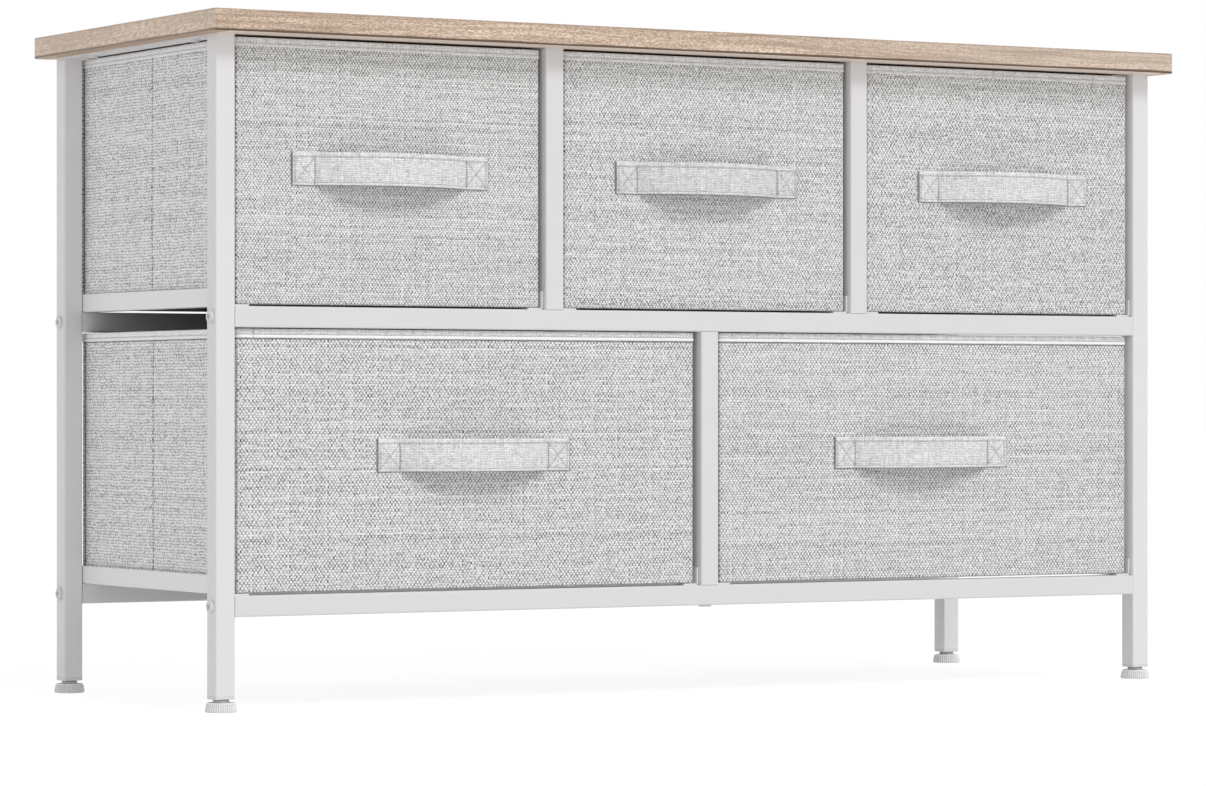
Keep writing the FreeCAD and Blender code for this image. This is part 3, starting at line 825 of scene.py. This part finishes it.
def hem(drawer, seed):
    """Folded band swept round the rim, with its line of stitches."""
    node = drawer + "_hem"
    low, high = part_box(drawer + "_box")
    hem_low, hem_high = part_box(node)
    section = hem_section(high.z, hem_high.z, hem_low.z, wall_thickness(drawer))
    rings = [rim_ring(low, high, offset) for offset, _ in section]
    count = len(rings[0])
    reach = distances(section)
    gone = distances(rim_ring(low, high, 0.0))
    vertices = []
    cloth = []
    for k, (_, height) in enumerate(section):
        for j in range(count):
            x, y = rings[k][j]
            spot = Vector((x, y, height))
            wave = noise.noise(Vector((gone[j] * 60.0, k * 0.15, seed))) * hem_wave
            spot.z += wave if 0 < k < hem_outer_points else 0.0
            vertices.append(spot)
            cloth.append((gone[j], reach[k], float(seed)))
    faces = []
    sections = len(section)
    for k in range(sections):
        for j in range(count):
            a, b = k * count + j, k * count + (j + 1) % count
            c, d = ((k + 1) % sections) * count + (j + 1) % count, ((k + 1) % sections) * count + j
            faces.append((a, b, c, d))
    new_piece(node + "_band", vertices, faces, "hem_fabric", drawer, [node], cloth)
    groove_ring = rim_ring(low, high, hem_groove_offset)
    points = [Vector((x, y, hem_low.z + hem_stitch_height)) for x, y in groove_ring]
    stitch_vertices, stitch_faces = [], []
    stitches_along(stitch_vertices, stitch_faces, points, hem_stitch, closed=True)
    new_piece(node + "_thread", stitch_vertices, stitch_faces, "hem_fabric", drawer, material="thread")


# ---- stitches --------------------------------------------------------------------------
def add_stitch(vertices, faces, start, end, stitch_radius):
    """One short tapered thread between two points."""
    along = (end - start).normalized()
    side = along.cross(Vector((0.0, 0.0, 1.0)))
    if side.length < 0.3:  # the thread is nearly upright
        side = along.cross(Vector((1.0, 0.0, 0.0)))
    side.normalize()
    lift = side.cross(along)
    first = len(vertices)
    stations = ((0.0, 0.25), (0.14, 0.85), (0.5, 1.0), (0.86, 0.85), (1.0, 0.25))
    for share, size in stations:
        centre = start.lerp(end, share)
        for k in range(stitch_sides):
            turn = math.radians(360 / stitch_sides * k)
            vertices.append(centre + stitch_radius * size * (side * math.cos(turn) + lift * math.sin(turn)))
    for k in range(len(stations) - 1):
        ring = first + stitch_sides * k
        for j in range(stitch_sides):
            a, b = ring + j, ring + (j + 1) % stitch_sides
            faces.append((a, b, b + stitch_sides, a + stitch_sides))
    faces.append(tuple(first + stitch_sides - 1 - j for j in range(stitch_sides)))
    last = first + stitch_sides * (len(stations) - 1)
    faces.append(tuple(last + j for j in range(stitch_sides)))


def span_at(gone, distance):
    """Which span of a path a distance falls in, and the share of that span gone."""
    k = 0
    while k < len(gone) - 2 and gone[k + 1] < distance:
        k += 1
    return k, (distance - gone[k]) / max(gone[k + 1] - gone[k], 1e-9)


def at_distance(path, gone, distance):
    k, share = span_at(gone, distance)
    return path[k].lerp(path[k + 1], share)


def stitches_along(vertices, faces, points, stitch, closed=False):
    """Stitches at even steps along a path, with the pitch adjusted to fit its length."""
    stitch_pitch, stitch_length, stitch_radius = stitch
    path = points + points[:1] if closed else points
    gone = distances(path, vector_span)
    count = max(1, int(gone[-1] / stitch_pitch))
    pitch = gone[-1] / count
    length = stitch_length * pitch / stitch_pitch
    for number in range(count):
        begin = number * pitch + (pitch - length) / 2
        start = at_distance(path, gone, begin)
        end = at_distance(path, gone, begin + length)
        add_stitch(vertices, faces, start, end, stitch_radius)


# ---- handle straps ---------------------------------------------------------------------
def strap_path(low, high, face):
    """Points just behind the strap, end to end, each with its outward direction."""
    half = (high.x - low.x) / 2
    centre_x = (high.x + low.x) / 2
    chord = half - strap_tab
    bow = face - low.y - strap_thickness
    radius = (chord ** 2 + bow ** 2) / (2 * bow)
    hub = face + radius - bow
    sweep = math.asin(chord / radius)
    forward = Vector((0, -1, 0))
    stations = []
    tab_count = round(strap_tab / strap_grid)
    for k in range(tab_count):
        spot = Vector((centre_x - half + strap_tab * k / tab_count, face, 0))
        stations.append((spot, forward))
    bow_count = round(2 * sweep * radius / strap_bow_grid)
    for k in range(bow_count + 1):
        turn = -sweep + 2 * sweep * k / bow_count
        out = Vector((math.sin(turn), -math.cos(turn), 0))
        ease = min(1.0, min(k, bow_count - k) / 3.0)
        spot = Vector((centre_x + radius * math.sin(turn), hub - radius * math.cos(turn), 0))
        stations.append((spot, forward.lerp(out, ease).normalized()))
    for k in range(1, tab_count + 1):
        spot = Vector((centre_x + chord + strap_tab * k / tab_count, face, 0))
        stations.append((spot, forward))
    return stations


def groove_depth(distance, width):
    return math.exp(-((distance / width) ** 2))


def strap_surface(distance, height, length, width, seed):
    """How far the strap's front stands off its path."""
    puff = strap_puff + strap_crown * inside_share(height, 0, width)
    edge = min(height, width - height)
    puff *= min(1.0, 0.45 + edge / (1.6 * mm)) ** 0.6
    puff -= strap_groove * groove_depth(height - strap_seam_low, strap_groove_width)
    puff -= strap_groove * groove_depth(width - height - strap_seam_top, strap_groove_width)
    tab = min(distance, length - distance)
    if tab < strap_tab + 2 * mm:
        for line in (strap_box_start, strap_box_end):
            puff -= strap_groove * groove_depth(tab - line, strap_box_groove_width)
        if strap_box_start < tab < strap_box_end and strap_seam_low < height < width - strap_seam_top:
            span = strap_box_end - strap_box_start
            share = (tab - strap_box_start) / span
            rise = (height - strap_seam_low) / (width - strap_seam_top - strap_seam_low)
            for line in (rise - share, rise - 1 + share):
                puff -= strap_cross_groove * groove_depth(line * span * 0.75, strap_box_groove_width)
        puff *= min(1.0, 0.4 + tab / (1.5 * mm)) ** 0.6
    return puff + strap_wobble * noise.noise(Vector((distance * 160, height * 160, seed)))


def strap_faces(station_count):
    """The skin round the strap, and its two ends."""
    ring = 2 * strap_rows
    faces = []
    for k in range(station_count - 1):
        for j in range(ring):
            a, b = k * ring + j, k * ring + (j + 1) % ring
            faces.append((a, a + ring, b + ring, b))
    for base, flip in ((0, False), ((station_count - 1) * ring, True)):
        for j in range(strap_rows - 1):
            quad = (base + j, base + j + 1, base + ring - 2 - j, base + ring - 1 - j)
            faces.append(quad[::-1] if flip else quad)
    return faces


def strap_seam_lines(length, width):
    """Both long seams, and the crossed box at each end, as distances along and heights up."""
    seam_steps, box_steps = 120, 12
    start, end = strap_box_start, strap_box_end
    bottom, top = strap_seam_low, width - strap_seam_top
    lines = []
    for height in (bottom, top):
        run = length - 2 * start
        lines.append([(start + run * k / seam_steps, height) for k in range(seam_steps + 1)])
    box_lines = (
        ((start, bottom), (start, top)),
        ((end, bottom), (end, top)),
        ((start, bottom), (end, top)),
        ((start, top), (end, bottom)),
    )
    for mirror in (False, True):
        for (a, c), (b, d) in box_lines:
            steps = range(box_steps + 1)
            line = [(a + (b - a) * k / box_steps, c + (d - c) * k / box_steps) for k in steps]
            lines.append([(length - p, q) if mirror else (p, q) for p, q in line])
    return lines


def handle_strap(drawer, seed):
    """Folded cloth strap: rolled edges, two long seams and a crossed box on each tab."""
    node = drawer + "_strap"
    low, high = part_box(node)
    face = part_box(drawer + "_box")[0].y - wall_crown * 0.3
    stations = strap_path(low, high, face)
    width = high.z - low.z
    gone = distances([spot for spot, _ in stations], vector_span)
    length = gone[-1]
    rows = [width * k / (strap_rows - 1) for k in range(strap_rows)]
    vertices, cloth, tabs = [], [], []
    for (spot, out), distance in zip(stations, gone):
        tab = min(distance, length - distance)
        for height in rows:
            stand_off = strap_surface(distance, height, length, width, seed)
            vertices.append(spot + out * stand_off + Vector((0, 0, low.z + height)))
            cloth.append((distance, height, float(seed)))
            tabs.append((tab, height, 0.0))
        for height in reversed(rows):
            vertices.append(spot + out * strap_back + Vector((0, 0, low.z + height)))
            cloth.append((distance, height, seed + 0.5))
            tabs.append((tab, height, 0.0))
    faces = strap_faces(len(stations))
    strap = new_piece(node + "_cloth", vertices, faces, "strap_fabric", drawer, [node], cloth)
    point_vectors(strap.data, "tab", tabs)

    def on_cloth(distance, height):
        k, share = span_at(gone, distance)
        spot = stations[k][0].lerp(stations[k + 1][0], share)
        out = stations[k][1].lerp(stations[k + 1][1], share).normalized()
        lift = strap_surface(distance, height, length, width, seed) + thread_lift
        return spot + out * lift + Vector((0, 0, low.z + height))

    stitch_vertices, stitch_faces = [], []
    for line in strap_seam_lines(length, width):
        points = [on_cloth(distance, height) for distance, height in line]
        stitches_along(stitch_vertices, stitch_faces, points, strap_stitch)
    new_piece(node + "_thread", stitch_vertices, stitch_faces, "strap_fabric", drawer, material="thread")


# ---- levelling feet --------------------------------------------------------------------
def levelling_foot(node):
    """Moulded foot: a fluted disc that narrows upwards, a flat shoulder, and a neck."""
    low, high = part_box(node)
    centre = (low + high) / 2
    base = (high.x - low.x) / 2
    # radius, height and share of the flutes' depth
    profile = [
        (0.0, 0.0, 0.0),
        (base - 2.2 * mm, 0.0, 0.0),
        (base - 0.9 * mm, 0.1 * mm, 0.3),
        (base - 0.2 * mm, 0.7 * mm, 0.9),
        (base, 1.3 * mm, 1.0),
        (base - 0.5 * mm, 4.0 * mm, 1.0),
        (base - 1.1 * mm, 6.6 * mm, 1.0),
        (base - 1.3 * mm, 7.2 * mm, 0.5),
        (base - 1.5 * mm, 7.6 * mm, 0.0),
        (base - 2.0 * mm, 8.1 * mm, 0.0),
        (base - 2.9 * mm, 8.3 * mm, 0.0),
        (7.6 * mm, 8.35 * mm, 0.0),
        (7.1 * mm, 8.6 * mm, 0.0),
        (6.9 * mm, 9.2 * mm, 0.0),
        (6.9 * mm, high.z - 0.4 * mm, 0.0),
        (6.5 * mm, high.z, 0.0),
        (0.0, high.z, 0.0),
    ]
    vertices, faces = [], []
    for radius, height, flute in profile:
        for k in range(foot_steps):
            turn = 2 * math.pi * k / foot_steps
            reach = radius - flute * foot_flute_depth * abs(math.cos(foot_flutes / 2 * turn))
            x, y = centre.x + reach * math.cos(turn), centre.y + reach * math.sin(turn)
            vertices.append(Vector((x, y, height)))
    for j in range(len(profile) - 1):
        for k in range(foot_steps):
            a, b = j * foot_steps + k, j * foot_steps + (k + 1) % foot_steps
            faces.append((a, b, b + foot_steps, a + foot_steps))
    new_piece(node + "_moulding", vertices, faces, "foot_plastic", node, [node])


# ---- build the pieces ------------------------------------------------------------------
for drawer, seed in drawer_seeds.items():
    drawer_walls(drawer, seed)
    covered_base(drawer, seed)
    hem(drawer, seed)
    handle_strap(drawer, seed)
for foot in feet:
    levelling_foot(foot)


# ---- studio ----------------------------------------------------------------------------
def background_rays(tree):
    """1 for camera, glossy and transmission rays, 0 for the others."""
    path = tree.nodes.new("ShaderNodeLightPath")
    total = path.outputs["Is Camera Ray"]
    for name in ("Is Glossy Ray", "Is Transmission Ray"):
        either = tree.nodes.new("ShaderNodeMath")
        either.operation = "MAXIMUM"
        tree.links.new(total, either.inputs[0])
        tree.links.new(path.outputs[name], either.inputs[1])
        total = either.outputs[0]
    return total


def studio_world():
    """White to the camera; to the object a soft sky, brighter low down than overhead."""
    world = bpy.data.worlds.new("studio")
    bpy.context.scene.world = world
    world.use_nodes = True
    tree = world.node_tree
    tree.nodes.clear()
    place = tree.nodes.new("ShaderNodeTexCoord")
    split = tree.nodes.new("ShaderNodeSeparateXYZ")
    tree.links.new(place.outputs["Generated"], split.inputs[0])
    height = tree.nodes.new("ShaderNodeMapRange")
    tree.links.new(split.outputs["Z"], height.inputs["Value"])
    height.inputs["To Min"].default_value = sky_low
    height.inputs["To Max"].default_value = sky_high
    lean = tree.nodes.new("ShaderNodeMapRange")
    tree.links.new(split.outputs["X"], lean.inputs["Value"])
    lean.inputs["From Min"].default_value = -1.0
    lean.inputs["To Min"].default_value = sky_left
    lean.inputs["To Max"].default_value = sky_right
    strength = tree.nodes.new("ShaderNodeMath")
    strength.operation = "MULTIPLY"
    tree.links.new(height.outputs[0], strength.inputs[0])
    tree.links.new(lean.outputs[0], strength.inputs[1])
    sky = tree.nodes.new("ShaderNodeBackground")
    tree.links.new(strength.outputs[0], sky.inputs["Strength"])
    white = tree.nodes.new("ShaderNodeBackground")
    for background in (sky, white):
        background.inputs["Color"].default_value = (1.0, 1.0, 1.0, 1.0)
    mix = tree.nodes.new("ShaderNodeMixShader")
    tree.links.new(background_rays(tree), mix.inputs[0])
    tree.links.new(sky.outputs[0], mix.inputs[1])
    tree.links.new(white.outputs[0], mix.inputs[2])
    output = tree.nodes.new("ShaderNodeOutputWorld")
    tree.links.new(mix.outputs[0], output.inputs[0])


def studio_floor():
    """Pale floor: plain diffuse for the light, nearly white with a faint shadow to the camera."""
    material = bpy.data.materials.new("studio_floor")
    material.use_nodes = True
    tree = material.node_tree
    tree.nodes.clear()
    bounce = tree.nodes.new("ShaderNodeBsdfDiffuse")
    bounce.inputs["Color"].default_value = (floor_bounce, floor_bounce, floor_bounce, 1.0)
    shade = tree.nodes.new("ShaderNodeBsdfDiffuse")
    shade.inputs["Color"].default_value = (floor_shade, floor_shade, floor_shade, 1.0)
    glow = tree.nodes.new("ShaderNodeEmission")
    glow.inputs["Strength"].default_value = floor_glow
    seen = tree.nodes.new("ShaderNodeAddShader")
    tree.links.new(shade.outputs[0], seen.inputs[0])
    tree.links.new(glow.outputs[0], seen.inputs[1])
    lit = tree.nodes.new("ShaderNodeEmission")
    lit.inputs["Strength"].default_value = floor_lit
    under = tree.nodes.new("ShaderNodeAddShader")
    tree.links.new(bounce.outputs[0], under.inputs[0])
    tree.links.new(lit.outputs[0], under.inputs[1])
    mix = tree.nodes.new("ShaderNodeMixShader")
    tree.links.new(background_rays(tree), mix.inputs[0])
    tree.links.new(under.outputs[0], mix.inputs[1])
    tree.links.new(seen.outputs[0], mix.inputs[2])
    output = tree.nodes.new("ShaderNodeOutputMaterial")
    tree.links.new(mix.outputs[0], output.inputs[0])
    corners = [(x * floor_half, y * floor_half, 0) for x, y in ((-1, -1), (1, -1), (1, 1), (-1, 1))]
    mesh = bpy.data.meshes.new("studio_floor")
    mesh.from_pydata(corners, [], [(0, 1, 2, 3)])
    mesh.materials.append(material)
    floor = bpy.data.objects.new("studio_floor", mesh)
    bpy.context.scene.collection.objects.link(floor)


def studio_sun(name, direction, energy, degrees):
    """Soft lamp that shines from a far point in one direction."""
    light = bpy.data.lights.new(name, "SUN")
    light.energy = energy
    light.angle = math.radians(degrees)
    lamp = bpy.data.objects.new(name, light)
    lamp.rotation_euler = Vector(direction).to_track_quat("Z", "Y").to_euler()
    bpy.context.scene.collection.objects.link(lamp)


def photo_camera():
    """Level camera, front left of the dresser; its focal length is in pixels of the frame."""
    frame_width = 1206
    focal_pixels = 4618.19
    horizon_drop = 12.56
    place = (-2.1763, -3.6669, 0.2581)
    yaw = -30.5306
    sensor = 36.0
    lens = bpy.data.cameras.new("camera")
    lens.sensor_width = sensor
    lens.lens = focal_pixels / frame_width * sensor
    lens.shift_y = horizon_drop / frame_width
    lens.clip_end = 200.0
    camera = bpy.data.objects.new("camera", lens)
    camera.location = place
    camera.rotation_euler = (math.radians(90), 0, math.radians(yaw))
    bpy.context.scene.collection.objects.link(camera)
    bpy.context.scene.camera = camera


studio_world()
studio_floor()
studio_sun("key", *key_lamp)
studio_sun("fill", *fill_lamp)
photo_camera()
bpy.context.scene.view_settings.view_transform = "Standard"
